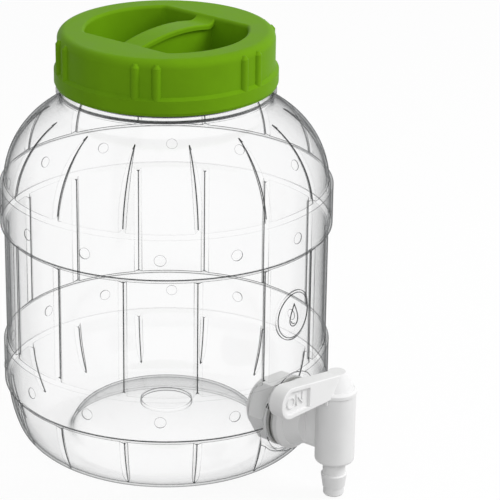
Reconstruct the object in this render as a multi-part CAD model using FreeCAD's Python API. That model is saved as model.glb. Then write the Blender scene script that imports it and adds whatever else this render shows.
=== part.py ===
"""Clear stave-pattern beverage jar with a screw lid and a rotary tap.

Millimetres, +Z up. The origin is the centre of the foot ring on the table, and the tap points to -Y.
Each separate piece is written to parts/ as its own STEP file.
"""

import FreeCAD, Part
import os
from math import acos, asin, atan2, cos, degrees, pi, radians, sin, sqrt

V = FreeCAD.Vector

# Jar body
wall = 1.2                 # blown wall
body_r = 86.1              # staves, half the body diameter
shoulder_r = 46.0          # round of the shoulder
shoulder_z = 147.3         # where the shoulder starts
heel_big_r = 69.4          # slow upper round of the heel
heel_small_r = 21.0        # quick lower round of the heel
foot_r = body_r - 24.3      # outer edge of the foot ring
foot_w = 4.8               # width of the foot ring
foot_round = 6.0           # round from the foot ring into the push-up
pushup_h = 18.7            # crest of the push-up above the table
pushup_edge_r = 12.0       # round of the push-up's rim
pushup_side_deg = 70.0     # slope of the push-up's side
pushup_side_len = 2.0      # straight part of that side
gate_r = 13.5              # raised disc at the crest of the push-up
gate_h = 1.2

# Staves, hoops and rivet heads
stave_count = 14
groove_depth = 1.5
groove_w = 4.4
groove_top_deg = 60.0      # angle up the shoulder's round at which a groove fades out
groove_top_mid = 20.0      # and at which it is deepest
groove_low_deg = 43.0      # the same down the heel's round
groove_low_mid = 5.0
hoop_bevel = 3.6
low_hoop_z = 36.4
low_hoop_h = 22.4
low_hoop_r = body_r + 1.7
up_hoop_z = 125.9
up_hoop_h = 21.8
up_hoop_r = body_r + 2.1
rivet_r = 3.0
rivet_h = 0.9

# Blank medallion above the tap
medal_r = 13.6
medal_z = 94.0
medal_h = 0.5

# Neck
neck_r = 55.6
neck_round = 4.0
bead_r = 57.6
rim_z = 227.0
bead_z = rim_z - 30.0
bead_h = 2.6
finish_r = 53.0            # neck above the bead, at the root of the thread
finish_wall = 2.2

# Lid
lid_z = rim_z - 25.0       # lower edge of the skirt
lid_wall = 1.9
lid_plate = 2.4            # thickness of the top ring
liner_h = 1.2
lid_top = rim_z + liner_h + lid_plate
collar_r = 58.4
collar_top = lid_z + 8.0
panel_r = 56.6
lid_round = 4.5            # outer round of the top
rib_pairs = 6
rib_r = 2.4
rib_gap_deg = 11.0         # between the two ribs of a pair
rib_top = lid_top - 4.0
grip_r = 42.2              # the two finger pockets, together a circle
grip_half = 31.4           # cut off straight at both ends of the grip bar
grip_depth = 20.0
grip_floor = 2.0
grip_wall = 2.0
grip_corner = 4.0
grip_edge = 1.8            # round along the rim of a pocket
web_w = 8.6                # hollow web under the grip bar
web_wall = 1.8
bar_w = 13.2
bar_h = 2.6
bar_rise = 2.4             # arch of the bar, middle above its ends
bar_sweep = 7.0            # length of the hollow curve at each end of the arch
bar_edge = 1.1
liner_w = 3.6

# Tap: places
tap_z = 39.1               # axis of the inlet
seat_y = body_r + 0.5       # outer plane of the flat seat, from the jar's axis
seat_r = 21.8
seat_bevel = 2.6           # slope round the seat
barrel_y = seat_y + 28.2    # axis of the barrel, from the jar's axis
gasket_h = 1.6             # the same flat ring inside and outside the wall
gasket_r = 18.2

# Tap: inlet body
shank_r = 13.2             # three-quarter inch pipe thread, outside
shank_in_y = seat_y - 20.6  # inner end of the shank
water_r = 6.0
flange_r = 18.8
flange_h = 2.6
flange_bevel = 2.2
hub_r = 16.2
hub_front_r = 12.6
hub_y = seat_y + 13.8
duct_w = 13.4
duct_h = 25.8
duct_round = 3.0
barrel_r = 10.3
barrel_z = 20.4
barrel_top = 58.3
barrel_round = 1.8
barrel_bore = 7.4
plug_play = 0.1            # radial clearance of the plug in the barrel
snap_h = 0.5               # snap bead of the plug, in its groove
snap_z = 27.0

# Tap: plug with lever and hose barb
head_gap = 0.3             # between the barrel's top and the plug's collar
plug_collar_r = 10.7
plug_collar_h = 3.0
cone_r = 9.0
cone_top_r = 4.6
tap_top = 70.6
stem_bore = 3.6
port_r = 4.6
barb_neck_r = 5.9
barb_r = 6.8
barb_z = 12.6
barb_step_z = 5.6
barb_low_r = 5.75
barb_tip_r = 5.4
barb_end = 0.9
lever_len = 50.6
lever_t = 8.5
lever_tip_r = 8.4
lever_tip_z = 68.8
lever_root = 58.6
stop_w = 1.4               # stop rib that hangs from the lever outside the barrel
stop_h = 2.4
stop_out = 1.3
stop_deg = 12.0
lever_recess = 1.6
lever_rim = 2.1
lever_pocket = 23.0        # length of the recess in each face

# Nut and its clearances
nut_flats = 31.8
nut_hex_h = 10.3
nut_washer_r = 18.8
nut_washer_h = 2.7
hole_play = 0.4            # hole in the jar round the shank

TAP_AZ = -90.0             # direction of the tap, degrees from +X
STAVE = 360.0 / stave_count


def arc(centre, r, a0, a1):
    """Arc in the XZ plane from angle a0 to a1, degrees."""
    cx, cz = centre
    am = (a0 + a1) / 2
    pts = [V(cx + r * cos(radians(a)), 0, cz + r * sin(radians(a))) for a in (a0, am, a1)]
    return Part.Arc(*pts).toShape()


def line(p, q):
    return Part.LineSegment(V(p[0], 0, p[1]), V(q[0], 0, q[1])).toShape()


def polyline(points):
    return [line(p, q) for p, q in zip(points, points[1:])]


def revolve(edges):
    """Solid of revolution about Z from a closed outline in the XZ plane."""
    face = Part.Face(Part.Wire(Part.__sortEdges__(edges)))
    return face.revolve(V(0, 0, 0), V(0, 0, 1), 360)


def turned(points):
    return revolve(polyline(points + points[:1]))


def spin(shape, deg):
    out = shape.copy()
    out.rotate(V(0, 0, 0), V(0, 0, 1), deg)
    return out


def to_tap(shape):
    """A shape turned about Z becomes one about the inlet's axis, which points to -Y."""
    out = shape.copy()
    out.rotate(V(0, 0, 0), V(1, 0, 0), 90)
    out.translate(V(0, 0, tap_z))
    return out


def tidy(shape):
    return shape.removeSplitter()


def write(name, shape):
    if shape.ShapeType != "Solid" and len(shape.Solids) == 1:
        shape = shape.Solids[0]
    shape.exportStep("parts/%s.step" % name)


# The jar's outside and inside are one form, made at an offset of nothing and of the wall

def push_up(off):
    """Outline of the foot ring and the push-up, from the foot's outer edge to the axis."""
    corner = (foot_r - foot_w, foot_round)
    slope = radians(pushup_side_deg)
    low = (corner[0] - foot_round * sin(slope), corner[1] - foot_round * cos(slope))
    high = (low[0] - pushup_side_len * cos(slope), low[1] + pushup_side_len * sin(slope))
    edge = (high[0] - pushup_edge_r * sin(slope), high[1] - pushup_edge_r * cos(slope))
    rise = pushup_h - pushup_edge_r
    cap_z = (rise ** 2 - edge[0] ** 2 - edge[1] ** 2) / (2 * (rise - edge[1]))
    cap_r = pushup_h - cap_z
    lean = degrees(atan2(edge[1] - cap_z, edge[0]))
    side = 90 - pushup_side_deg
    inner = foot_round - off
    outer = pushup_edge_r + off
    p = (corner[0] - inner * sin(slope), corner[1] - inner * cos(slope))
    q = (edge[0] + outer * sin(slope), edge[1] + outer * cos(slope))
    return [
        line((foot_r, off), (corner[0], off)),
        arc(corner, inner, 270, 180 + side),
        line(p, q),
        arc(edge, outer, side, lean),
        arc((0, cap_z), cap_r + off, lean, 90),
    ], pushup_h + off


def jar_blank(off, finish):
    """Smooth jar form before its hoops and grooves; finish is the neck's outline above the shoulder."""
    edges, crest = push_up(off)
    big = (body_r - heel_big_r, 0)
    reach = heel_big_r - heel_small_r
    heel_z = heel_small_r + sqrt(reach ** 2 - (foot_r - big[0]) ** 2)
    join = -degrees(asin((heel_z - heel_small_r) / reach))
    edges.append(arc((foot_r, heel_small_r), heel_small_r - off, 270, 360 + join))
    edges.append(arc((big[0], heel_z), heel_big_r - off, join, 0))
    edges.append(line((body_r - off, heel_z), (body_r - off, shoulder_z)))
    c = body_r - shoulder_r
    fillet = neck_r + neck_round
    span = shoulder_r + neck_round
    up = sqrt(span ** 2 - (fillet - c) ** 2)
    a = degrees(atan2(up, fillet - c))
    edges.append(arc((c, shoulder_z), shoulder_r - off, 0, a))
    edges.append(arc((fillet, shoulder_z + up), neck_round + off, 180 + a, 180))
    start = (neck_r - off, shoulder_z + up)
    edges += polyline([start] + finish + [(0, finish[-1][1]), (0, crest)])
    return revolve(edges)


def hoop(z, h, r, off):
    """Full disc of a hoop with bevelled edges."""
    k = off * 0.4
    root = body_r - off - 1.5
    return turned([
        (0, z - hoop_bevel), (root, z - hoop_bevel), (r - off, z + k), (r - off, z + h - k),
        (root, z + h + hoop_bevel), (0, z + h + hoop_bevel),
    ])


def groove_section(r, off):
    """Triangle that cuts one V groove, its tip inside the surface at radius r."""
    half = groove_w / 2
    out = 3.0
    tip = r - off - groove_depth
    top = half * (groove_depth + out) / groove_depth
    return tip, tip + groove_depth + out, top


def groove_wire(r, off):
    tip, far, top = groove_section(r, off)
    pts = [V(tip, 0, 0), V(far, -top, 0), V(far, top, 0), V(tip, 0, 0)]
    return Part.Face(Part.makePolygon(pts))


def fading_cutter(centre, r, mid, end, off):
    """V cutter along a round of the wall: full depth at the angle mid, nothing at the angle end, up or down."""
    half = radians(abs(end - mid))
    shift = groove_depth / (1 - cos(half))
    x = centre[0] - shift * cos(radians(mid))
    z = centre[1] - shift * sin(radians(mid))
    face = groove_wire(r + groove_depth + shift * cos(half), off)
    face.translate(V(x, 0, z))
    return face.revolve(V(x, 0, z), V(0, -1 if end > 0 else 1, 0), abs(end) + 2)


def grooves(off):
    """V grooves between the staves: straight on the body, curved on the shoulder and the heel."""
    straight = groove_wire(body_r, off)
    straight.translate(V(0, 0, low_hoop_z))
    cutters = [straight.extrude(V(0, 0, up_hoop_z - low_hoop_z))]
    cutters.append(fading_cutter(
        (body_r - shoulder_r, shoulder_z), shoulder_r, groove_top_mid, groove_top_deg, off
    ))
    c = body_r - heel_big_r
    reach = heel_big_r - heel_small_r
    heel_z = heel_small_r + sqrt(reach ** 2 - (foot_r - c) ** 2)
    cutters.append(fading_cutter((c, heel_z), heel_big_r, -groove_low_mid, -groove_low_deg, off))
    out = []
    for k in range(stave_count):
        turn = TAP_AZ + STAVE * (k + 0.5)
        out += [spin(cutter, turn) for cutter in cutters]
    return out


def rivets(skip_tap):
    """Round rivet heads at the middle of each stave."""
    ball = (rivet_r ** 2 + rivet_h ** 2) / (2 * rivet_h)
    out = []
    for r, z in ((low_hoop_r, low_hoop_z + low_hoop_h / 2), (up_hoop_r, up_hoop_z + up_hoop_h / 2)):
        for k in range(stave_count):
            if k == 0 and r == low_hoop_r and skip_tap:
                continue
            head = Part.makeSphere(ball, V(r + rivet_h - ball, 0, z))
            side = Part.makeCylinder(rivet_r + 0.4, 4, V(r - 1.5, 0, z), V(1, 0, 0))
            out.append(spin(head.common(side), TAP_AZ + STAVE * k))
    return out


def tap_seat(off):
    """Flat round seat that the tap's gasket lies on: the pad below it and the clearance in front of it."""
    depth = 8.0
    face = seat_y - off
    pad = Part.makeCone(seat_r + seat_bevel - off, seat_r - off, depth, V(0, 0, face - depth))
    front = Part.makeCone(seat_r - off, seat_r + seat_bevel - off, depth, V(0, 0, face))
    return to_tap(pad), to_tap(front)


def jar_form(off, finish):
    form = jar_blank(off, finish)
    form = form.cut(grooves(off))
    pads = [hoop(low_hoop_z, low_hoop_h, low_hoop_r, off), hoop(up_hoop_z, up_hoop_h, up_hoop_r, off)]
    pad, front = tap_seat(off)
    form = form.fuse(pads).cut(front).fuse(pad)
    gate = Part.makeCone(gate_r + 1.0 + off * 0.4, gate_r + off * 0.4, gate_h + 4)
    gate.translate(V(0, 0, pushup_h + off - 4))
    return form.cut(gate)


def make_jar():
    shelf = bead_z + bead_h
    outside = jar_form(0, [
        (neck_r, bead_z - 0.6), (bead_r, bead_z + 0.4), (bead_r, shelf - 0.4), (finish_r, shelf + 1.2),
        (finish_r, rim_z),
    ])
    bore = finish_r - finish_wall
    inside = jar_form(wall, [(bore, shelf), (bore, rim_z + 1)])
    medal = Part.makeCylinder(medal_r, 6, V(0, 0, body_r + medal_h - 6))
    medal = to_tap(medal)
    medal.translate(V(0, 0, medal_z - tap_z))
    face = Part.makeCylinder(body_r + medal_h, 2 * medal_r, V(0, 0, medal_z - medal_r))
    outside = outside.fuse(rivets(True) + [medal.common(face)])
    hole = to_tap(Part.makeCylinder(shank_r + hole_play, 30, V(0, 0, seat_y - 20)))
    return tidy(outside.cut([inside, hole]))


# Lid

def pocket(w, r, half, corner, height):
    """Pocket on the +Y side of the bar: part of a circle, cut off straight at both ends, with rounded corners."""
    tall = Part.makeBox(2 * half, r, height, V(-half, w, 0))
    shape = tall.common(Part.makeCylinder(r, height))
    upright = [e for e in shape.Edges if e.BoundBox.ZLength > height - 0.1 and e.CenterOfMass.y > w + 1]
    return shape.makeFillet(corner, upright)


def both_pockets(w, r, half, corner, height, z):
    one = pocket(w, r, half, corner, height)
    one.translate(V(0, 0, z))
    return [one, spin(one, 180)]


def bar_line(drop):
    """Side view of the bar's top: an arch that dips at each end and sweeps up into the round of the ring's rim."""
    blend = grip_edge * (1 - sqrt(0.5))
    x, top = grip_half + blend, -blend
    foot = x - bar_sweep
    arch = Part.Arc(
        V(-foot, 0, lid_top - bar_rise - drop), V(0, 0, lid_top - drop), V(foot, 0, lid_top - bar_rise - drop)
    ).toShape()
    slope = 2 * bar_rise / foot
    knot_x = (top - x + bar_rise - slope * foot) / (-1 - slope)
    knot_z = top - x + knot_x
    ends = []
    for s in (-1, 1):
        curve = Part.BezierCurve()
        curve.setPoles([
            V(s * foot, 0, lid_top - bar_rise - drop), V(s * knot_x, 0, lid_top + knot_z - drop),
            V(s * x, 0, lid_top + top - drop),
        ])
        ends.append(curve.toShape())
    return [ends[0], arch, ends[1]], x, lid_top + top


def grip_bar():
    """Arched bar across the pockets, wider than the web that carries it."""
    top, x, z = bar_line(0)
    low, x, z = bar_line(bar_h)
    sides = [line((s * x, z), (s * x, z - bar_h)) for s in (-1, 1)]
    face = Part.Face(Part.Wire(Part.__sortEdges__(top + low + sides)))
    bar = face.extrude(V(0, bar_w, 0))
    bar.translate(V(0, -bar_w / 2, 0))
    long_edges = []
    for e in bar.Edges:
        run = abs(e.CenterOfMass.y) > bar_w / 2 - 0.01 and e.BoundBox.XLength > 1
        if run and e.BoundBox.ZMax > lid_top - bar_rise - 0.9 and e.BoundBox.ZMax > lid_top - bar_h + 0.1:
            long_edges.append(e)
    return bar.makeFillet(bar_edge, long_edges)


def make_lid():
    inner_r = panel_r - lid_wall
    outer = [
        (0, lid_z + 1), (collar_r - 2.0, lid_z), (collar_r - 0.7, lid_z), (collar_r, lid_z + 1.6),
        (collar_r, collar_top), (panel_r, collar_top + 1.6), (panel_r, lid_top - lid_round),
    ]
    edges = polyline(outer)
    edges.append(arc((panel_r - lid_round, lid_top - lid_round), lid_round, 0, 90))
    edges += polyline([(panel_r - lid_round, lid_top), (0, lid_top), (0, lid_z + 1)])
    lid = revolve(edges)
    ribs = []
    for k in range(rib_pairs):
        for side in (-0.5, 0.5):
            rib = Part.makeCylinder(rib_r, rib_top - collar_top + 1, V(collar_r - rib_r, 0, collar_top - 1))
            tip = Part.makeCone(rib_r, rib_r * 0.4, 1.8, V(collar_r - rib_r, 0, rib_top))
            ribs.append(spin(rib.fuse(tip), TAP_AZ + 360.0 * k / rib_pairs + side * rib_gap_deg))
    lid = lid.fuse(ribs)
    saddle = Part.makeBox(2 * grip_half, bar_w, bar_h + 5, V(-grip_half, -bar_w / 2, lid_top - bar_h))
    pockets = both_pockets(web_w / 2, grip_r, grip_half, grip_corner, grip_depth + 1, lid_top - grip_depth)
    lid = lid.cut(pockets + [saddle]).removeSplitter()
    rims = [
        e for e in lid.Edges
        if e.BoundBox.ZMin > lid_top - 0.01 and max(abs(e.BoundBox.XMax), abs(e.BoundBox.XMin)) < grip_r + 0.1
        and max(abs(e.BoundBox.YMax), abs(e.BoundBox.YMin)) < grip_r + 0.1
    ]
    lid = lid.makeFillet(grip_edge, rims).fuse(grip_bar())
    under = lid_top - lid_plate
    floor_z = lid_top - grip_depth - grip_floor
    channel = Part.makeCylinder(inner_r, under - lid_z + 2, V(0, 0, lid_z - 2))
    well = Part.makeCylinder(grip_r + grip_wall, under - floor_z + 5, V(0, 0, floor_z))
    ends = Part.makeBox(2 * (grip_half + grip_wall), 4 * grip_r, 60, V(-grip_half - grip_wall, -2 * grip_r, floor_z))
    lid = lid.cut(channel.cut(well.common(ends)))
    slot_w = web_w - 2 * web_wall
    slot = Part.makeBox(2 * grip_half, slot_w, under - bar_h - floor_z - 1.5, V(-grip_half, -slot_w / 2, floor_z - 1))
    return tidy(lid.cut(slot))


def make_liner():
    outer_r = panel_r - lid_wall - 0.2
    ring = Part.makeCylinder(outer_r, liner_h, V(0, 0, rim_z))
    return ring.cut(Part.makeCylinder(outer_r - liner_w, liner_h, V(0, 0, rim_z)))


# Tap

def make_tap_body():
    face_y = seat_y + gasket_h
    step_y = face_y + flange_h
    stem = turned([
        (0, shank_in_y), (shank_r - 0.8, shank_in_y), (shank_r, shank_in_y + 0.8), (shank_r, face_y),
        (flange_r, face_y), (flange_r, step_y), (flange_r - flange_bevel, step_y + flange_bevel),
        (hub_r, step_y + flange_bevel), (hub_front_r, hub_y), (0, hub_y),
    ])
    body = to_tap(stem)
    duct = Part.makeBox(duct_w, barrel_y - hub_y + 1, duct_h)
    duct.translate(V(-duct_w / 2, -barrel_y, tap_z - duct_h / 2))
    duct = duct.makeFillet(duct_round, [e for e in duct.Edges if abs(e.tangentAt(e.FirstParameter).y) > 0.9])
    barrel = Part.makeCylinder(barrel_r, barrel_top - barrel_z, V(0, -barrel_y, barrel_z))
    low = [e for e in barrel.Edges if e.BoundBox.ZMax < barrel_z + 0.1]
    barrel = barrel.makeFillet(barrel_round, low)
    body = body.fuse([duct, barrel])
    water = to_tap(Part.makeCylinder(water_r, barrel_y - shank_in_y, V(0, 0, shank_in_y)))
    wide = to_tap(Part.makeCylinder(shank_r - 2.6, face_y - shank_in_y, V(0, 0, shank_in_y)))
    bore = Part.makeCylinder(barrel_bore, barrel_top, V(0, -barrel_y, 0))
    groove = barrel_bore + snap_h + plug_play
    snap = Part.makeCone(barrel_bore, groove, snap_h * 2, V(0, -barrel_y, snap_z - snap_h * 2))
    snap = snap.fuse(Part.makeCone(groove, barrel_bore, snap_h * 2, V(0, -barrel_y, snap_z)))
    return tidy(body.cut([water, wide, bore, snap]))


def lever_face(grow, start):
    """Outline of the lever in the XZ plane, pointing to -X; grow moves it outwards."""
    tip_x = -(lever_len - lever_tip_r)
    r = lever_tip_r + grow
    lo = lever_root - grow if grow < 0 else lever_root
    hi = tap_top - 0.7 + grow
    root = lever_tip_z - lever_tip_r - grow
    pts = [V(start, 0, lo), V(tip_x, 0, root)]
    tip = Part.Arc(V(tip_x, 0, root), V(tip_x - r, 0, lever_tip_z), V(tip_x, 0, lever_tip_z + r)).toShape()
    edges = [
        Part.LineSegment(pts[0], pts[1]).toShape(), tip,
        Part.LineSegment(V(tip_x, 0, lever_tip_z + r), V(start, 0, hi)).toShape(),
        Part.LineSegment(V(start, 0, hi), pts[0]).toShape(),
    ]
    return Part.Face(Part.Wire(edges))


def make_plug():
    stem_r = barrel_bore - plug_play
    base = barrel_top + head_gap
    head = base + plug_collar_h
    plug = turned([
        (0, barb_end), (barb_tip_r - 0.6, barb_end), (barb_tip_r, barb_end + 0.8), (barb_tip_r, barb_step_z),
        (barb_low_r, barb_step_z), (barb_r, barb_z), (barb_neck_r, barb_z + 0.6), (barb_neck_r, barrel_z + 1),
        (stem_r, barrel_z + 1.6), (stem_r, snap_z - snap_h * 1.6), (stem_r + snap_h * 0.8, snap_z),
        (stem_r, snap_z + snap_h * 1.6), (stem_r, base), (plug_collar_r, base),
        (plug_collar_r, head - 1.2), (plug_collar_r - 1.2, head), (cone_r, head), (cone_top_r, tap_top),
        (0, tap_top),
    ])
    lever = lever_face(0, 0).extrude(V(0, lever_t, 0))
    lever.translate(V(0, -lever_t / 2, 0))
    outline = [e for e in lever.Edges if e.CenterOfMass.x < -2 and abs(abs(e.CenterOfMass.y) - lever_t / 2) < 0.01]
    lever = lever.makeFillet(0.5, outline)
    keep = Part.makeBox(lever_pocket, lever_t, 40, V(-lever_len, -lever_t / 2, lever_root - 5))
    recess = lever_face(-lever_rim, 0).extrude(V(0, lever_recess, 0)).common(keep.translated(V(0, lever_t / 2, 0)))
    front = recess.translated(V(0, -lever_t / 2, 0))
    back = recess.translated(V(0, lever_t / 2 - lever_recess, 0))
    stop = Part.makeBox(stop_out, stop_w, stop_h + 1, V(barrel_r + 0.5, -stop_w / 2, lever_root - stop_h))
    stop.rotate(V(0, 0, 0), V(0, 0, 1), 180 + stop_deg)
    plug = plug.fuse([lever.cut([front, back]), stop])
    bore = Part.makeCylinder(stem_bore, tap_z + port_r, V(0, 0, 0))
    port = Part.makeCylinder(port_r, stem_r + 1, V(0, 0, tap_z), V(0, 1, 0))
    plug = tidy(plug.cut([bore, port]))
    plug.translate(V(0, -barrel_y, 0))
    return plug


def make_nut():
    top = seat_y - wall - gasket_h
    low = top - nut_washer_h - nut_hex_h
    corner = nut_flats / sqrt(3)
    pts = [V(corner * cos(radians(60 * k)), corner * sin(radians(60 * k)), low) for k in range(7)]
    hexagon = Part.Face(Part.makePolygon(pts)).extrude(V(0, 0, nut_hex_h))
    trim = turned([
        (0, low), (nut_flats / 2, low), (corner + 0.4, low + 1.6), (corner + 0.4, top), (0, top),
    ])
    washer = turned([
        (0, top - nut_washer_h), (nut_washer_r - 1.4, top - nut_washer_h), (nut_washer_r, top - nut_washer_h + 1.4),
        (nut_washer_r, top), (0, top),
    ])
    nut = hexagon.common(trim).fuse(washer)
    bore = Part.makeCylinder(shank_r, top - low, V(0, 0, low))
    return to_tap(tidy(nut.cut(bore)))


def make_gasket(low):
    ring = Part.makeCylinder(gasket_r, gasket_h, V(0, 0, low))
    return to_tap(ring.cut(Part.makeCylinder(shank_r, gasket_h, V(0, 0, low))))


def make_outer_gasket():
    return make_gasket(seat_y)


def make_inner_gasket():
    return make_gasket(seat_y - wall - gasket_h)


os.makedirs("parts", exist_ok=True)
for name, make in (
    ("jar", make_jar), ("lid", make_lid), ("lid_liner", make_liner), ("tap_body", make_tap_body),
    ("tap_plug", make_plug), ("tap_nut", make_nut), ("outer_gasket", make_outer_gasket),
    ("inner_gasket", make_inner_gasket),
):
    write(name, make())
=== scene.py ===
from math import atan2, cos, degrees, floor, pi, radians, sin

import bmesh
import bpy
from bpy.props import FloatProperty, FloatVectorProperty, PointerProperty, StringProperty
from mathutils import Matrix, Vector


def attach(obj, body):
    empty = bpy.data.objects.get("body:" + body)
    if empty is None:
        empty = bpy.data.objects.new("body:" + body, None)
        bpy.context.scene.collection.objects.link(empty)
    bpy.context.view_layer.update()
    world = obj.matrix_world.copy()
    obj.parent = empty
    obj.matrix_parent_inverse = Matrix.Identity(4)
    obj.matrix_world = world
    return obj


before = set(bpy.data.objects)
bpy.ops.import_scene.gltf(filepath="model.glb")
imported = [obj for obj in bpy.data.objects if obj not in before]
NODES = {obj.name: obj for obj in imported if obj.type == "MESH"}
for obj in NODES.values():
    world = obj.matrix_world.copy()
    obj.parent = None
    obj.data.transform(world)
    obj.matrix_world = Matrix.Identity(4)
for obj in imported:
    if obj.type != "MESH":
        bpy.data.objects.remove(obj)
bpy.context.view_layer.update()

bl_info = {
    "name": "Jar with tap",
    "version": (1, 0, 0),
    "blender": (4, 5, 0),
    "location": "View3D > Sidebar > Jar",
    "description": "Dresses a clear blown jar with its screw lid, lever tap, threads and raised marks",
    "category": "Object",
}

AXIS_Y = -0.1148  # the tap's barrel stands here, on the jar's front
TAP_Z = 0.0391  # height of the shank's axis


def linear(text):
    """Linear RGB of an sRGB hex colour."""
    out = []
    for k in (1, 3, 5):
        c = int(text[k:k + 2], 16) / 255
        out.append(c / 12.92 if c <= 0.04045 else ((c + 0.055) / 1.055) ** 2.4)
    return tuple(out)


def add(tree, kind, settings=None, links=None):
    """Adds a node. Settings are its own properties; links gives its inputs a value or the socket that
    feeds them."""
    node = tree.nodes.new(kind)
    for key, value in (settings or {}).items():
        setattr(node, key, value)
    for key, value in (links or {}).items():
        if isinstance(value, bpy.types.NodeSocket):
            tree.links.new(value, node.inputs[key])
        else:
            node.inputs[key].default_value = value
    return node


def new_material(name):
    """An empty material and its node tree."""
    old = bpy.data.materials.get(name)
    if old:
        bpy.data.materials.remove(old)
    mat = bpy.data.materials.new(name)
    mat.use_nodes = True
    mat.node_tree.nodes.clear()
    return mat, mat.node_tree


def dress(node, mat):
    """Gives a carried-over solid its finish."""
    obj = NODES[node]
    obj.data.materials.clear()
    obj.data.materials.append(mat)
    for face in obj.data.polygons:
        face.material_index = 0


def place(obj, body):
    """Puts a finished piece on its body."""
    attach(obj, body)


def new_object(name, mesh, mat=None):
    """A mesh object in the scene, with its finish."""
    obj = bpy.data.objects.new(name, mesh)
    bpy.context.scene.collection.objects.link(obj)
    if mat is not None:
        mesh.materials.clear()
        mesh.materials.append(mat)
    return obj


def weld(mesh):
    """Joins the caps of a curve's or a word's mesh to its sides, which leaves it closed."""
    bm = bmesh.new()
    bm.from_mesh(mesh)
    bmesh.ops.remove_doubles(bm, verts=bm.verts, dist=1e-7)
    bm.to_mesh(mesh)
    bm.free()


def grown(name, tree, values, mesh=None):
    """The plain mesh object that a Geometry Nodes tree makes from these values."""
    obj = new_object(name, mesh or bpy.data.meshes.new(name))
    mod = obj.modifiers.new(name, "NODES")
    mod.node_group = tree
    for item in tree.interface.items_tree:
        if item.item_type == "SOCKET" and item.in_out == "INPUT" and item.name in values:
            mod[item.identifier] = values[item.name]
    bpy.context.view_layer.update()
    graph = bpy.context.evaluated_depsgraph_get()
    made = bpy.data.meshes.new_from_object(obj.evaluated_get(graph))
    obj.modifiers.remove(mod)
    obj.data = made
    made.name = name
    if not made.polygons:
        raise RuntimeError(name + ": its node tree made no faces")
    return obj


# Finishes

def blown_pet(look):
    """Blow-moulded PET: clear, thin and glossy; it darkens only where the wall is seen edge on."""
    mat, tree = new_material("blown_clear_PET")
    facing = add(tree, "ShaderNodeLayerWeight", None, {"Blend": 0.5}).outputs["Facing"]
    tint = add(tree, "ShaderNodeValToRGB", None, {"Fac": facing})
    ramp = tint.color_ramp
    ramp.elements[0].position = 0.0
    ramp.elements[0].color = (*look.jar_clear, 1)
    ramp.elements[1].position = 1.0
    ramp.elements[1].color = (*linear("#3E4041"), 1)
    for at, shade in (
        (0.4, "#FEFEFE"), (0.6, "#F9F9F9"), (0.75, "#EBEBEB"), (0.86, "#C1C2C2"), (0.94, "#6E6F70"),
    ):
        ramp.elements.new(at).color = (*linear(shade), 1)
    clear = add(tree, "ShaderNodeBsdfTransparent", None, {"Color": tint.outputs["Color"]})
    # Parison flow leaves faint vertical streaks, about 6 mm apart, that ripple the shine.
    coord = add(tree, "ShaderNodeTexCoord").outputs["Object"]
    streaks = add(tree, "ShaderNodeMapping", None, {"Vector": coord, "Scale": (170, 170, 22)})
    ripple = add(tree, "ShaderNodeTexNoise", None, {
        "Vector": streaks.outputs["Vector"], "Scale": 1.0, "Detail": 2.0,
    })
    bump = add(tree, "ShaderNodeBump", None, {
        "Height": ripple.outputs["Fac"], "Strength": 0.25, "Distance": 0.0004,
    })
    shine = add(tree, "ShaderNodeBsdfGlossy", None, {
        "Color": (0.92, 0.93, 0.94, 1), "Roughness": 0.09, "Normal": bump.outputs["Normal"],
    })
    edge = add(tree, "ShaderNodeMath", {"operation": "POWER"}, {0: facing, 1: 3.0})
    amount = add(tree, "ShaderNodeMath", {"operation": "MULTIPLY_ADD"}, {
        0: edge.outputs[0], 1: 0.16, 2: 0.03,
    })
    both = add(tree, "ShaderNodeMixShader", None, {
        0: amount.outputs[0], 1: clear.outputs[0], 2: shine.outputs[0],
    })
    add(tree, "ShaderNodeOutputMaterial", None, {"Surface": both.outputs[0]})
    return mat


def painted_edge_shade(look):
    """Painted shade for the cords along the wall's sharp edges, where the mould bends the clear PET sharply
    and it throws light aside. A groove's foot is painted as a dark line from every side; another edge is
    painted dark only where the steeper of its two faces is seen at a slant."""
    mat, tree = new_material("PET_edge_painted_shade")
    wall_normal = add(tree, "ShaderNodeAttribute", {"attribute_name": "edge_normal"}).outputs["Vector"]
    always = add(tree, "ShaderNodeAttribute", {"attribute_name": "line_base"}).outputs["Fac"]
    slant = add(tree, "ShaderNodeLayerWeight", None, {"Blend": 0.5, "Normal": wall_normal}).outputs["Facing"]
    rises = add(tree, "ShaderNodeMapRange", {"interpolation_type": "SMOOTHSTEP"}, {
        "Value": slant, "From Min": 0.16, "From Max": 0.62, "To Min": 0.0, "To Max": 1.0,
    })
    strength = add(tree, "ShaderNodeMath", {"operation": "MAXIMUM"}, {
        0: rises.outputs["Result"], 1: always,
    })
    facing = add(tree, "ShaderNodeLayerWeight", None, {"Blend": 0.5}).outputs["Facing"]
    tint = add(tree, "ShaderNodeValToRGB", None, {"Fac": facing})
    tint.color_ramp.elements[0].color = (*look.edge_shade, 1)
    tint.color_ramp.elements[1].color = (*linear("#F4F4F4"), 1)
    clear = add(tree, "ShaderNodeBsdfTransparent", None, {"Color": (1, 1, 1, 1)})
    # The grey tint is painted shade: darkest across the cord's middle, paler towards its rim.
    bent = add(tree, "ShaderNodeBsdfTransparent", None, {"Color": tint.outputs["Color"]})
    shine = add(tree, "ShaderNodeBsdfGlossy", None, {"Color": (0.9, 0.9, 0.9, 1), "Roughness": 0.12})
    line = add(tree, "ShaderNodeMixShader", None, {0: 0.04, 1: bent.outputs[0], 2: shine.outputs[0]})
    both = add(tree, "ShaderNodeMixShader", None, {
        0: strength.outputs[0], 1: clear.outputs[0], 2: line.outputs[0],
    })
    add(tree, "ShaderNodeOutputMaterial", None, {"Surface": both.outputs[0]})
    return mat


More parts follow.
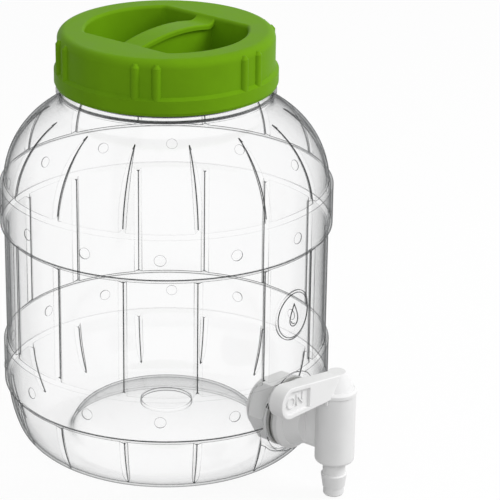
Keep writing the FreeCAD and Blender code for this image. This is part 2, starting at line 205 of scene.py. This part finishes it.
def moulded(name, colour, deep, rough, grain_mm, depth_mm, shine, soft=0.0):
    """Injection-moulded polyolefin: even colour with faint flow clouds and the fine grain of an eroded
    mould."""
    mat, tree = new_material(name)
    coord = add(tree, "ShaderNodeTexCoord").outputs["Object"]
    clouds = add(tree, "ShaderNodeTexNoise", None, {
        "Vector": coord, "Scale": 1 / 0.018, "Detail": 3.0, "Roughness": 0.55,
    })
    flow = add(tree, "ShaderNodeValToRGB", None, {"Fac": clouds.outputs["Fac"]})
    flow.color_ramp.elements[0].position = 0.3
    flow.color_ramp.elements[0].color = (*deep, 1)
    flow.color_ramp.elements[1].position = 0.7
    flow.color_ramp.elements[1].color = (*colour, 1)
    grain = add(tree, "ShaderNodeTexNoise", None, {
        "Vector": coord, "Scale": 1000 / grain_mm, "Detail": 2.0,
    })
    gloss = add(tree, "ShaderNodeMapRange", None, {
        "Value": clouds.outputs["Fac"], "From Min": 0.3, "From Max": 0.7,
        "To Min": rough - 0.05, "To Max": rough + 0.06,
    })
    bump = add(tree, "ShaderNodeBump", None, {
        "Height": grain.outputs["Fac"], "Strength": 0.35, "Distance": depth_mm / 1000,
    })
    body = add(tree, "ShaderNodeBsdfPrincipled", None, {
        "Base Color": flow.outputs["Color"], "Roughness": gloss.outputs["Result"], "IOR": 1.49,
        "Normal": bump.outputs["Normal"], "Specular IOR Level": shine, "Subsurface Weight": soft,
        "Subsurface Scale": 0.002, "Subsurface Radius": (1.0, 1.0, 1.0),
    })
    add(tree, "ShaderNodeOutputMaterial", None, {"Surface": body.outputs[0]})
    return mat


def green_polypropylene(look):
    """Opaque green PP of the lid: satin, with a slightly deeper green in the clouds."""
    deep = tuple(c * 0.9 for c in look.lid_green)
    return moulded("moulded_green_PP", look.lid_green, deep, 0.5, 0.7, 0.03, 0.05)


def white_polypropylene(look):
    """Natural white PP of the tap: satin and faintly translucent."""
    deep = tuple(c * 0.955 for c in look.tap_white)
    return moulded("moulded_white_PP", look.tap_white, deep, 0.42, 0.8, 0.035, 0.25, soft=0.06)


def foamed_polyethylene():
    """Foamed PE of the sealing ring: matt, off-white, with open bubbles about 0.9 mm wide."""
    mat, tree = new_material("foamed_PE")
    coord = add(tree, "ShaderNodeTexCoord").outputs["Object"]
    cells = add(tree, "ShaderNodeTexVoronoi", {"feature": "F1"}, {"Vector": coord, "Scale": 1000 / 0.9})
    shade = add(tree, "ShaderNodeValToRGB", None, {"Fac": cells.outputs["Distance"]})
    shade.color_ramp.elements[0].color = (*linear("#D6D5CF"), 1)
    shade.color_ramp.elements[1].color = (*linear("#EFEEE9"), 1)
    bump = add(tree, "ShaderNodeBump", None, {
        "Height": cells.outputs["Distance"], "Strength": 0.5, "Distance": 0.0002,
    })
    body = add(tree, "ShaderNodeBsdfPrincipled", None, {
        "Base Color": shade.outputs["Color"], "Roughness": 0.85, "Normal": bump.outputs["Normal"],
    })
    add(tree, "ShaderNodeOutputMaterial", None, {"Surface": body.outputs[0]})
    return mat


def pale_silicone():
    """Pressed silicone rubber of the gaskets: pale grey, soft sheen, a little dusty."""
    return moulded("pressed_silicone", linear("#B9B9B7"), linear("#A9A9A7"), 0.55, 1.2, 0.02, 0.3)


# Node trees

def socket(tree, name, kind, default=None, out=False):
    """Adds a socket to a node group's own interface."""
    side = "OUTPUT" if out else "INPUT"
    made = tree.interface.new_socket(name, in_out=side, socket_type="NodeSocket" + kind)
    if default is not None:
        made.default_value = default


def thread_tree():
    """A screw thread round +Z that fades out at both ends: a spiral with a trapezoid swept along it."""
    old = bpy.data.node_groups.get("screw_thread")
    if old:
        return old
    tree = bpy.data.node_groups.new("screw_thread", "GeometryNodeTree")
    socket(tree, "Geometry", "Geometry")
    socket(tree, "Root radius", "Float", 0.05)
    socket(tree, "Pitch", "Float", 0.006)
    socket(tree, "Turns", "Float", 2.0)
    socket(tree, "Root width", "Float", 0.0024)
    socket(tree, "Crest width", "Float", 0.001)
    socket(tree, "Depth", "Float", 0.0013)
    socket(tree, "Profile turn", "Vector", (0, 0, -pi / 2))
    socket(tree, "Fade", "Float", 0.06)
    socket(tree, "Points per turn", "Int", 72)
    socket(tree, "Material", "Material")
    socket(tree, "Geometry", "Geometry", out=True)
    given = add(tree, "NodeGroupInput").outputs
    height = add(tree, "ShaderNodeMath", {"operation": "MULTIPLY"}, {0: given["Pitch"], 1: given["Turns"]})
    spiral = add(tree, "GeometryNodeCurveSpiral", None, {
        "Resolution": given["Points per turn"], "Rotations": given["Turns"],
        "Start Radius": given["Root radius"], "End Radius": given["Root radius"],
        "Height": height.outputs[0], "Reverse": True,
    })
    upright = add(tree, "GeometryNodeSetCurveNormal", {"mode": "Z_UP"}, {"Curve": spiral.outputs[0]})
    profile = add(tree, "GeometryNodeCurvePrimitiveQuadrilateral", {"mode": "TRAPEZOID"}, {
        "Bottom Width": given["Root width"], "Top Width": given["Crest width"], "Height": given["Depth"],
        "Offset": 0.0,
    })
    # The quadrilateral is centred on its height: it moves up by half of it, less the sixth that is sunk
    # into the wall, and is then turned so that its height points away from the axis, or towards it in a
    # lid.
    half = add(tree, "ShaderNodeMath", {"operation": "MULTIPLY"}, {0: given["Depth"], 1: 0.34})
    lift = add(tree, "ShaderNodeCombineXYZ", None, {"Y": half.outputs[0]})
    raised = add(tree, "GeometryNodeTransform", None, {
        "Geometry": profile.outputs[0], "Translation": lift.outputs[0],
    })
    turned = add(tree, "GeometryNodeTransform", None, {
        "Geometry": raised.outputs[0], "Rotation": given["Profile turn"],
    })
    along = add(tree, "GeometryNodeSplineParameter").outputs["Factor"]
    back = add(tree, "ShaderNodeMath", {"operation": "SUBTRACT"}, {0: 1.0, 1: along})
    near = add(tree, "ShaderNodeMath", {"operation": "MINIMUM"}, {0: along, 1: back.outputs[0]})
    fade = add(tree, "ShaderNodeMapRange", {"interpolation_type": "SMOOTHSTEP"}, {
        "Value": near.outputs[0], "From Min": 0.0, "From Max": given["Fade"], "To Min": 0.02, "To Max": 1.0,
    })
    swept = add(tree, "GeometryNodeCurveToMesh", None, {
        "Curve": upright.outputs[0], "Profile Curve": turned.outputs[0], "Scale": fade.outputs["Result"],
        "Fill Caps": True,
    })
    real = add(tree, "GeometryNodeRealizeInstances", None, {"Geometry": swept.outputs[0]})
    finish = add(tree, "GeometryNodeSetMaterial", None, {
        "Geometry": real.outputs[0], "Material": given["Material"],
    })
    add(tree, "NodeGroupOutput", None, {"Geometry": finish.outputs[0]})
    return tree


def edge_line_tree():
    """Fine round cords along a mesh's edges, sunk under the skin that the edges lie on; an attribute
    sets how thick."""
    old = bpy.data.node_groups.get("wall_edge_lines")
    if old:
        return old
    tree = bpy.data.node_groups.new("wall_edge_lines", "GeometryNodeTree")
    socket(tree, "Geometry", "Geometry")
    socket(tree, "Line radius", "Float", 0.0003)
    socket(tree, "Inset", "Float", 0.0003)
    socket(tree, "Sides", "Int", 6)
    socket(tree, "Material", "Material")
    socket(tree, "Geometry", "Geometry", out=True)
    given = add(tree, "NodeGroupInput").outputs
    attribute = "GeometryNodeInputNamedAttribute"
    normal = add(tree, attribute, {"data_type": "FLOAT_VECTOR"}, {"Name": "skin_normal"}).outputs[0]
    weight = add(tree, attribute, {"data_type": "FLOAT"}, {"Name": "line_weight"}).outputs[0]
    depth = add(tree, "ShaderNodeMath", {"operation": "MULTIPLY"}, {0: given["Inset"], 1: weight})
    sink = add(tree, "ShaderNodeMath", {"operation": "MULTIPLY"}, {0: depth.outputs[0], 1: -1.0})
    inward = add(tree, "ShaderNodeVectorMath", {"operation": "SCALE"}, {
        0: normal, "Scale": sink.outputs[0],
    })
    sunk = add(tree, "GeometryNodeSetPosition", None, {
        "Geometry": given["Geometry"], "Offset": inward.outputs[0],
    })
    lines = add(tree, "GeometryNodeMeshToCurve", None, {"Mesh": sunk.outputs[0]})
    ring = add(tree, "GeometryNodeCurvePrimitiveCircle", {"mode": "RADIUS"}, {
        "Resolution": given["Sides"], "Radius": given["Line radius"],
    })
    swept = add(tree, "GeometryNodeCurveToMesh", None, {
        "Curve": lines.outputs[0], "Profile Curve": ring.outputs[0], "Scale": weight, "Fill Caps": True,
    })
    smooth = add(tree, "GeometryNodeSetShadeSmooth", None, {
        "Geometry": swept.outputs[0], "Shade Smooth": True,
    })
    real = add(tree, "GeometryNodeRealizeInstances", None, {"Geometry": smooth.outputs[0]})
    finish = add(tree, "GeometryNodeSetMaterial", None, {
        "Geometry": real.outputs[0], "Material": given["Material"],
    })
    add(tree, "NodeGroupOutput", None, {"Geometry": finish.outputs[0]})
    return tree


# Settings

class JarLook(bpy.types.PropertyGroup):
    jar_clear: FloatVectorProperty(
        name="Jar tint", description="Colour left in light that goes straight through the wall",
        subtype="COLOR", size=3, default=linear("#FFFFFF"), min=0, max=1,
    )
    # Edge shade is the painted shade of the dark cords along the wall's sharp edges.
    edge_shade: FloatVectorProperty(
        name="Edge shade", description="Colour left in light that goes through a sharply bent edge",
        subtype="COLOR", size=3, default=linear("#585B5D"), min=0, max=1,
    )
    lid_green: FloatVectorProperty(
        name="Lid green", description="Colour of the lid",
        subtype="COLOR", size=3, default=linear("#689710"), min=0, max=1,
    )
    tap_white: FloatVectorProperty(
        name="Tap white", description="Colour of the tap and its nut",
        subtype="COLOR", size=3, default=linear("#E6E6E6"), min=0, max=1,
    )


class JarSizes(bpy.types.PropertyGroup):
    # The edge lines are cords of painted shade laid along the wall's sharp edges.
    line_r: FloatProperty(
        name="Edge line", description="Radius of the line that a sharp edge of the wall draws",
        unit="LENGTH", default=0.00034, precision=5,
    )
    line_sink: FloatProperty(
        name="Edge line depth", description="How far an edge line lies under the wall's skin",
        unit="LENGTH", default=0.00042, precision=5,
    )
    pitch: FloatProperty(
        name="Neck thread pitch", description="Rise of the neck thread in one turn",
        unit="LENGTH", default=0.006, precision=4,
    )
    neck_turns: FloatProperty(
        name="Neck thread turns", description="Turns of the thread on the neck",
        default=2.2, min=0.5, max=4,
    )
    neck_root: FloatProperty(
        name="Neck radius", description="Outside radius of the neck under its thread",
        unit="LENGTH", default=0.053, precision=4,
    )
    neck_from: FloatProperty(
        name="Neck thread start", description="Height at which the neck thread starts",
        unit="LENGTH", default=0.2072, precision=4,
    )
    medal_r: FloatProperty(
        name="Medallion ring", description="Radius of the raised ring on the medallion",
        unit="LENGTH", default=0.0122, precision=4,
    )
    medal_z: FloatProperty(
        name="Medallion height", description="Height of the medallion's middle",
        unit="LENGTH", default=0.094, precision=4,
    )


class LidSizes(bpy.types.PropertyGroup):
    root: FloatProperty(
        name="Skirt radius", description="Inside radius of the lid's skirt",
        unit="LENGTH", default=0.0547, precision=4,
    )
    turns: FloatProperty(
        name="Lid thread turns", description="Turns of the thread in the lid",
        default=2.0, min=0.5, max=4,
    )
    thread_from: FloatProperty(
        name="Lid thread start", description="Height at which the lid's thread starts",
        unit="LENGTH", default=0.2072, precision=4,
    )


class TapSizes(bpy.types.PropertyGroup):
    shank_r: FloatProperty(
        name="Shank radius", description="Radius of the shank under its thread",
        unit="LENGTH", default=0.0132, precision=4,
    )
    shank_pitch: FloatProperty(
        name="Shank pitch", description="Rise of the shank's pipe thread in one turn",
        unit="LENGTH", default=0.001814, precision=6,
    )
    word_h: FloatProperty(
        name="Letter height", description="Height of the raised words on the lever",
        unit="LENGTH", default=0.0062, precision=4,
    )
    word_out: FloatProperty(
        name="Letter relief", description="How far the words stand out of the recess",
        unit="LENGTH", default=0.0006, precision=4,
    )
    word_on: StringProperty(
        name="Front word", description="Generic word in the lever's front recess",
        default="ON",
    )
    word_off: StringProperty(
        name="Back word", description="Generic word in the lever's back recess",
        default="OFF",
    )


class StageSettings(bpy.types.PropertyGroup):
    turn: FloatProperty(
        name="Camera azimuth", description="Angle of the camera round the jar from the tap's side",
        subtype="ANGLE", default=radians(-49.4),
    )
    tilt: FloatProperty(
        name="Camera elevation", description="Angle of the camera above the horizon",
        subtype="ANGLE", default=radians(21.81),
    )
    away: FloatProperty(
        name="Camera distance", description="Distance of the camera from the middle of the jar",
        unit="LENGTH", default=1.3003,
    )
    aim_z: FloatProperty(
        name="Aim height", description="Height that the camera looks at",
        unit="LENGTH", default=0.1075, precision=4,
    )
    lens: FloatProperty(
        name="Lens", description="Focal length on a 36 mm sensor",
        subtype="DISTANCE_CAMERA", default=175.2,
    )
    shift: FloatProperty(
        name="Sideways shift", description="Frame shift that puts the jar left of the middle",
        default=0.1673,
    )
    ambient: FloatProperty(
        name="Room light", description="Strength of the even light from the room",
        default=0.54, min=0,
    )
    key: FloatProperty(
        name="Key light", description="Power of the large lamp at the upper right",
        subtype="POWER", default=17.0, min=0,
    )
    fill: FloatProperty(
        name="Fill light", description="Power of the lamp above the front",
        subtype="POWER", default=7.0, min=0,
    )


# Pieces

# Where the wall's features lie in the solids, in metres
STAVE = 2 * pi / 14  # angle from one groove to the next
GROOVE_HALF = 0.0005  # how close to its plane a groove's foot lies
RIVETS = ((0.0878, 0.0476), (0.0882, 0.1368))  # radius and height of the two rows
RIVET_REACH = 0.0036
HOOP_LIPS, HOOP_LIP_R = (0.0364, 0.1259), 0.0872
HOOP_ROOTS, HOOP_ROOT_R = (0.0347, 0.1238), 0.0867
PUSH_UP_TOP, PUSH_UP_R = 0.025, 0.06
FOOT_ROUND = 0.0055  # the round of the foot ring ends at this height
NECK_FILLET = (0.188, 0.196)
BEAD_FOOT, BEAD_TOP = 0.1985, 0.2012
TAP_SEAT, SEAT_REACH = Vector((0, -0.087, TAP_Z)), 0.0185
SHARP = 14  # degrees; a smaller bend only facets a round
MIDDLE = Vector((0, 0, 0.09))  # a point inside the jar

# How wide each kind of edge's painted dark line draws, and how much of it shows from every side. The thick
# line on the bead's top is a painted shadow under the lid's skirt.
LINES = {
    "lid_bead": (2.7, 1.0), "bead_foot": (0.7, 0.35), "rivet": (0.6, 0.25), "groove_foot": (1.1, 1.0),
    "hoop_lip": (1.1, 0.1), "hoop_root": (0.3, 0.0), "push_up": (0.7, 0.06), "shallow": (0.6, 0.07),
}


class JAR_OT_wall(bpy.types.Operator):
    """Gives the blown jar its clear PET"""
    bl_idname = "jar_tap.wall"
    bl_label = "Clear wall"

    def execute(self, context):
        dress("jar", blown_pet(context.scene.jar_look))
        return {"FINISHED"}


class JAR_OT_edges(bpy.types.Operator):
    """Draws fine lines of painted shade along the wall's sharp outer edges, and a painted shadow under the
    lid
    """
    bl_idname = "jar_tap.edges"
    bl_label = "Wall edges"

    def execute(self, context):
        size = context.scene.jar_sizes
        bm = bmesh.new()
        bm.from_mesh(NODES["jar"].data)
        bmesh.ops.remove_doubles(bm, verts=bm.verts, dist=2e-6)
        bm.normal_update()
        points, links, place_of = [], [], {}
        for edge in bm.edges:
            if len(edge.link_faces) != 2:
                continue
            mid = (edge.verts[0].co + edge.verts[1].co) / 2
            one, other = edge.link_faces
            bend = degrees(one.normal.angle(other.normal, 0))
            lean = one.normal + other.normal
            under_flange = (mid - TAP_SEAT).length < SEAT_REACH
            smooth_neck = NECK_FILLET[0] < mid.z < NECK_FILLET[1] or mid.z > BEAD_TOP
            inner_side = lean.dot(mid - MIDDLE) < 0
            if bend < SHARP or inner_side or under_flange or smooth_neck:
                continue
            kind = self.kind(edge, mid)
            if kind is None:
                continue
            radial = Vector((mid.x, mid.y, 0)).normalized()
            tilted = min((one.normal, other.normal), key=lambda normal: abs(normal.dot(radial)))
            ends = []
            for vert in edge.verts:
                key = (vert.index, kind)
                if key not in place_of:
                    place_of[key] = len(points)
                    points.append([vert.co.copy(), Vector(), Vector(), kind, bend])
                point = points[place_of[key]]
                point[1] += lean.normalized()
                point[2] += lean.normalized() if kind in ("groove_foot", "push_up") else tilted
                ends.append(place_of[key])
            links.append(ends)
        bm.free()
        mesh = bpy.data.meshes.new("jar_edges_base")
        mesh.from_pydata([point[0] for point in points], links, [])
        layers = {
            "line_weight": "FLOAT", "line_base": "FLOAT",
            "skin_normal": "FLOAT_VECTOR", "edge_normal": "FLOAT_VECTOR",
        }
        for name, kind in layers.items():
            mesh.attributes.new(name, kind, "POINT")
        thick, base, skins, faces = (mesh.attributes[name].data for name in layers)
        for k, (_, skin, face, kind, bend) in enumerate(points):
            wide, always = LINES[kind]
            thick[k].value = wide * min(1, bend / 60) if kind == "groove_foot" else wide
            base[k].value = always
            skins[k].vector = skin.normalized()
            faces[k].vector = face.normalized()
        lines = grown("jar_edge_lines", edge_line_tree(), {
            "Line radius": size.line_r, "Inset": size.line_sink, "Sides": 6,
            "Material": painted_edge_shade(context.scene.jar_look),
        }, mesh)
        place(lines, "jar")
        return {"FINISHED"}

    def kind(self, edge, mid):
        """What an edge of the wall belongs to, or None where it only facets a round."""
        def near(heights, within):
            return min(abs(mid.z - z) for z in heights) < within

        out = Vector((mid.x, mid.y)).length
        low, high = sorted(vert.co.z for vert in edge.verts)
        level = high - low < 0.0001
        if mid.z > NECK_FILLET[1]:
            # Edges on the bead's top carry the thick painted shadow under the lid; the bead's foot a thin
            # painted line.
            return "lid_bead" if mid.z > BEAD_FOOT else "bead_foot"
        turn = atan2(mid.x, -mid.y) / STAVE
        to_rivet = min(
            (mid - Vector((r * sin(STAVE * round(turn)), -r * cos(STAVE * round(turn)), z))).length
            for r, z in RIVETS
        )
        if to_rivet < RIVET_REACH:
            return "rivet"
        off = out * abs(sin(STAVE * (turn - floor(turn) - 0.5)))
        if not level and off < GROOVE_HALF:
            return "groove_foot"
        if level and out > HOOP_LIP_R and near(HOOP_LIPS, 0.0006):
            return "hoop_lip"
        if level and out < HOOP_ROOT_R and near(HOOP_ROOTS, 0.0012):
            return "hoop_root"
        if mid.z < PUSH_UP_TOP and out < PUSH_UP_R:
            return "push_up" if mid.z > FOOT_ROUND else None
        return "shallow"


class JAR_OT_medallion(bpy.types.Operator):
    """Raises a plain ring and a drop on the round medallion"""
    bl_idname = "jar_tap.medallion"
    bl_label = "Medallion relief"

    def execute(self, context):
        size = context.scene.jar_sizes
        skin = 0.0866  # radius that the relief is bent round
        drop_w, drop_h, glint_r = 0.0046, 0.0062, 0.0021
        ring = [(size.medal_r * cos(2 * pi * k / 96), size.medal_r * sin(2 * pi * k / 96)) for k in range(96)]
        drop = []
        for k in range(64):
            t = 2 * pi * k / 64
            drop.append((drop_w * sin(t) * sin(t / 2) ** 1.5, drop_h * cos(t) + 0.0002))
        glint = []
        for a in range(190, 281, 6):
            glint.append((glint_r * cos(radians(a)), glint_r * sin(radians(a)) - 0.0026))
        curve = bpy.data.curves.new("medallion_relief", "CURVE")
        curve.dimensions = "3D"
        curve.bevel_depth = 0.00032
        curve.bevel_resolution = 2
        curve.use_fill_caps = True
        for points, closed in ((ring, True), (drop, True), (glint, False)):
            spline = curve.splines.new("POLY")
            spline.points.add(len(points) - 1)
            spline.use_cyclic_u = closed
            for point, (u, v) in zip(spline.points, points):
                turn = u / skin
                point.co = (skin * sin(turn), -skin * cos(turn), size.medal_z + v, 1)
        maker = bpy.data.objects.new("medallion_relief_maker", curve)
        mesh = bpy.data.meshes.new_from_object(maker)
        bpy.data.objects.remove(maker)
        weld(mesh)
        for face in mesh.polygons:
            face.use_smooth = True
        # The relief takes the edge cords' painted shade, dark from every side.
        shown = mesh.attributes.new("line_base", "FLOAT", "POINT").data
        for k in range(len(shown)):
            shown[k].value = 1.0
        place(new_object("medallion_relief", mesh, bpy.data.materials["PET_edge_painted_shade"]), "jar")
        return {"FINISHED"}


class JAR_OT_neck_thread(bpy.types.Operator):
    """Winds the thread round the jar's neck"""
    bl_idname = "jar_tap.neck_thread"
    bl_label = "Neck thread"

    def execute(self, context):
        size = context.scene.jar_sizes
        thread = grown("neck_thread", thread_tree(), {
            "Root radius": size.neck_root, "Pitch": size.pitch, "Turns": size.neck_turns,
            "Root width": 0.0026, "Crest width": 0.0012, "Depth": 0.0013, "Fade": 0.07, "Points per turn": 96,
            "Material": bpy.data.materials["blown_clear_PET"],
        })
        thread.data.transform(Matrix.Translation((0, 0, size.neck_from)))
        place(thread, "jar")
        return {"FINISHED"}


class JAR_OT_lid(bpy.types.Operator):
    """Finishes the lid and its sealing ring, and winds the thread inside the skirt"""
    bl_idname = "jar_tap.lid"
    bl_label = "Lid"

    def execute(self, context):
        look, size = context.scene.jar_look, context.scene.lid_sizes
        green = green_polypropylene(look)
        dress("lid", green)
        dress("lid_liner", foamed_polyethylene())
        pitch = context.scene.jar_sizes.pitch
        thread = grown("lid_thread", thread_tree(), {
            "Root radius": size.root, "Pitch": pitch, "Turns": size.turns, "Root width": 0.0024,
            "Crest width": 0.001, "Depth": 0.0012, "Profile turn": (0, 0, pi / 2), "Fade": 0.07,
            "Points per turn": 96, "Material": green,
        })
        thread.data.transform(Matrix.Translation((0, 0, size.thread_from + pitch / 2)))
        place(thread, "lid")
        return {"FINISHED"}


class JAR_OT_tap(bpy.types.Operator):
    """Finishes the tap, its nut and gaskets, and winds the thread on the shank's inner end"""
    bl_idname = "jar_tap.tap"
    bl_label = "Tap"

    def execute(self, context):
        look, size = context.scene.jar_look, context.scene.tap_sizes
        white = white_polypropylene(look)
        for node in ("tap_body", "tap_plug", "tap_nut"):
            dress(node, white)
        silicone = pale_silicone()
        for node in ("outer_gasket", "inner_gasket"):
            dress(node, silicone)
        thread = grown("shank_thread", thread_tree(), {
            "Root radius": size.shank_r, "Pitch": size.shank_pitch, "Turns": 2.0, "Root width": 0.0014,
            "Crest width": 0.0004, "Depth": 0.0006, "Fade": 0.08, "Points per turn": 64, "Material": white,
        })
        # The shank lies along Y; its inner end shows between the nut and y = -66 mm.
        inner_end = (0, -0.0666, TAP_Z)
        thread.data.transform(Matrix.Translation(inner_end) @ Matrix.Rotation(pi / 2, 4, "X"))
        place(thread, "jar")
        return {"FINISHED"}


class JAR_OT_words(bpy.types.Operator):
    """Raises ON and OFF in the lever's two recesses"""
    bl_idname = "jar_tap.words"
    bl_label = "Lever words"

    def execute(self, context):
        size = context.scene.tap_sizes
        front = Matrix(((1, 0, 0, 0), (0, 0, -1, 0), (0, 1, 0, 0), (0, 0, 0, 1)))
        back = Matrix(((-1, 0, 0, 0), (0, 0, 1, 0), (0, 1, 0, 0), (0, 0, 0, 1)))
        lever_half, recess_depth, capital = 0.00425, 0.0016, 0.7
        recess = lever_half - recess_depth
        middle_x, middle_z = -0.0385, 0.0683
        for name, word, turn, y in (
            ("word_on", size.word_on, front, AXIS_Y - recess),
            ("word_off", size.word_off, back, AXIS_Y + recess),
        ):
            text = bpy.data.curves.new(name, "FONT")
            text.body = word
            text.align_x, text.align_y = "CENTER", "CENTER"
            text.size = size.word_h / capital
            text.extrude = size.word_out / 2
            text.bevel_depth = 0.00012
            text.bevel_resolution = 1
            text.offset = -0.0002
            maker = bpy.data.objects.new(name + "_maker", text)
            mesh = bpy.data.meshes.new_from_object(maker)
            bpy.data.objects.remove(maker)
            weld(mesh)
            out = Matrix.Translation((0, 0, size.word_out / 2))
            mesh.transform(Matrix.Translation((middle_x, y, middle_z)) @ turn @ out)
            place(new_object(name, mesh, bpy.data.materials["moulded_white_PP"]), "plug")
        return {"FINISHED"}


class JAR_OT_stage(bpy.types.Operator):
    """Sets the pale floor, the soft lamps, the white room and the camera"""
    bl_idname = "jar_tap.stage"
    bl_label = "Stage"

    def execute(self, context):
        setting = context.scene.stage_settings
        scene = context.scene
        scene.view_settings.view_transform = "Standard"
        scene.cycles.transparent_max_bounces = 40  # the clear walls lie one behind another
        self.room(scene, setting)
        self.floor()
        aim = Vector((0, 0, setting.aim_z))
        for name, power, at, wide in (
            ("key_lamp", setting.key, (0.75, -1.05, 1.15), 0.9),
            ("fill_lamp", setting.fill, (-0.95, -1.15, 0.85), 1.0),
        ):
            lamp = bpy.data.lights.new(name, "AREA")
            lamp.shape, lamp.size, lamp.energy = "DISK", wide, power
            obj = bpy.data.objects.new(name, lamp)
            obj.location = at
            obj.rotation_euler = (aim - obj.location).to_track_quat("-Z", "Y").to_euler()
            obj.visible_glossy = False  # the room's even white is all that shines in the plastic
            scene.collection.objects.link(obj)
        camera = bpy.data.cameras.new("camera")
        camera.sensor_width = 36
        camera.lens = setting.lens
        camera.shift_x = setting.shift
        obj = bpy.data.objects.new("camera", camera)
        flat = cos(setting.tilt)
        back = Vector((flat * sin(setting.turn), -flat * cos(setting.turn), sin(setting.tilt)))
        obj.location = aim + setting.away * back
        obj.rotation_euler = (-back).to_track_quat("-Z", "Y").to_euler()
        scene.collection.objects.link(obj)
        scene.camera = obj
        return {"FINISHED"}

    def seen(self, tree):
        """1 for rays that show the background itself or its mirror image."""
        path = add(tree, "ShaderNodeLightPath").outputs
        larger = {"operation": "MAXIMUM"}
        pair = add(tree, "ShaderNodeMath", larger, {0: path["Is Camera Ray"], 1: path["Is Glossy Ray"]})
        last = add(tree, "ShaderNodeMath", larger, {0: pair.outputs[0], 1: path["Is Transmission Ray"]})
        return last.outputs[0]

    def room(self, scene, setting):
        world = bpy.data.worlds.new("white_room")
        world.use_nodes = True
        tree = world.node_tree
        tree.nodes.clear()
        white = add(tree, "ShaderNodeBackground", None, {"Color": (1, 1, 1, 1), "Strength": 1.0})
        light = add(tree, "ShaderNodeBackground", None, {
            "Color": (1, 1, 1, 1), "Strength": setting.ambient,
        })
        both = add(tree, "ShaderNodeMixShader", None, {
            0: self.seen(tree), 1: light.outputs[0], 2: white.outputs[0],
        })
        add(tree, "ShaderNodeOutputWorld", None, {"Surface": both.outputs[0]})
        scene.world = world

    def floor(self):
        """A wide pale floor: white to the eye, with only the object's soft shadow on it, and open from
        below."""
        mesh = bpy.data.meshes.new("floor")
        ring = [(6 * cos(2 * pi * k / 64), 6 * sin(2 * pi * k / 64), -0.0002) for k in range(64)]
        mesh.from_pydata(ring, [], [list(range(64))])
        mat, tree = new_material("pale_floor")
        lit = add(tree, "ShaderNodeBsdfDiffuse", None, {"Color": (0.9, 0.9, 0.9, 1)})
        glow = add(tree, "ShaderNodeEmission", None, {"Color": (1, 1, 1, 1), "Strength": 1.0})
        shown = add(tree, "ShaderNodeMixShader", None, {0: 0.92, 1: lit.outputs[0], 2: glow.outputs[0]})
        dim = add(tree, "ShaderNodeBsdfDiffuse", None, {"Color": (0.45, 0.45, 0.45, 1)})
        top = add(tree, "ShaderNodeMixShader", None, {
            0: self.seen(tree), 1: dim.outputs[0], 2: shown.outputs[0],
        })
        below = add(tree, "ShaderNodeNewGeometry").outputs["Backfacing"]
        gone = add(tree, "ShaderNodeBsdfTransparent")
        both = add(tree, "ShaderNodeMixShader", None, {0: below, 1: top.outputs[0], 2: gone.outputs[0]})
        add(tree, "ShaderNodeOutputMaterial", None, {"Surface": both.outputs[0]})
        new_object("floor", mesh, mat)


PIECES = ("stage", "wall", "edges", "medallion", "neck_thread", "lid", "tap", "words")


class JAR_PT_panel(bpy.types.Panel):
    bl_idname = "JAR_PT_panel"
    bl_label = "Jar with tap"
    bl_space_type = "VIEW_3D"
    bl_region_type = "UI"
    bl_category = "Jar"

    def draw(self, context):
        for name, _ in SETTINGS:
            box = self.layout.box()
            group = getattr(context.scene, name)
            for key in group.__annotations__:
                box.prop(group, key)
        for piece in PIECES:
            self.layout.operator("jar_tap." + piece)


SETTINGS = (
    ("jar_look", JarLook), ("jar_sizes", JarSizes), ("lid_sizes", LidSizes), ("tap_sizes", TapSizes),
    ("stage_settings", StageSettings),
)
CLASSES = (
    JarLook, JarSizes, LidSizes, TapSizes, StageSettings, JAR_OT_wall, JAR_OT_edges, JAR_OT_medallion,
    JAR_OT_neck_thread, JAR_OT_lid, JAR_OT_tap, JAR_OT_words, JAR_OT_stage, JAR_PT_panel,
)


def register():
    for cls in CLASSES:
        bpy.utils.register_class(cls)
    for name, cls in SETTINGS:
        setattr(bpy.types.Scene, name, PointerProperty(type=cls))


def unregister():
    for name, _ in SETTINGS:
        delattr(bpy.types.Scene, name)
    for cls in reversed(CLASSES):
        bpy.utils.unregister_class(cls)


def main():
    register()
    for piece in PIECES:
        getattr(bpy.ops.jar_tap, piece)()


if __name__ == "__main__":
    main()
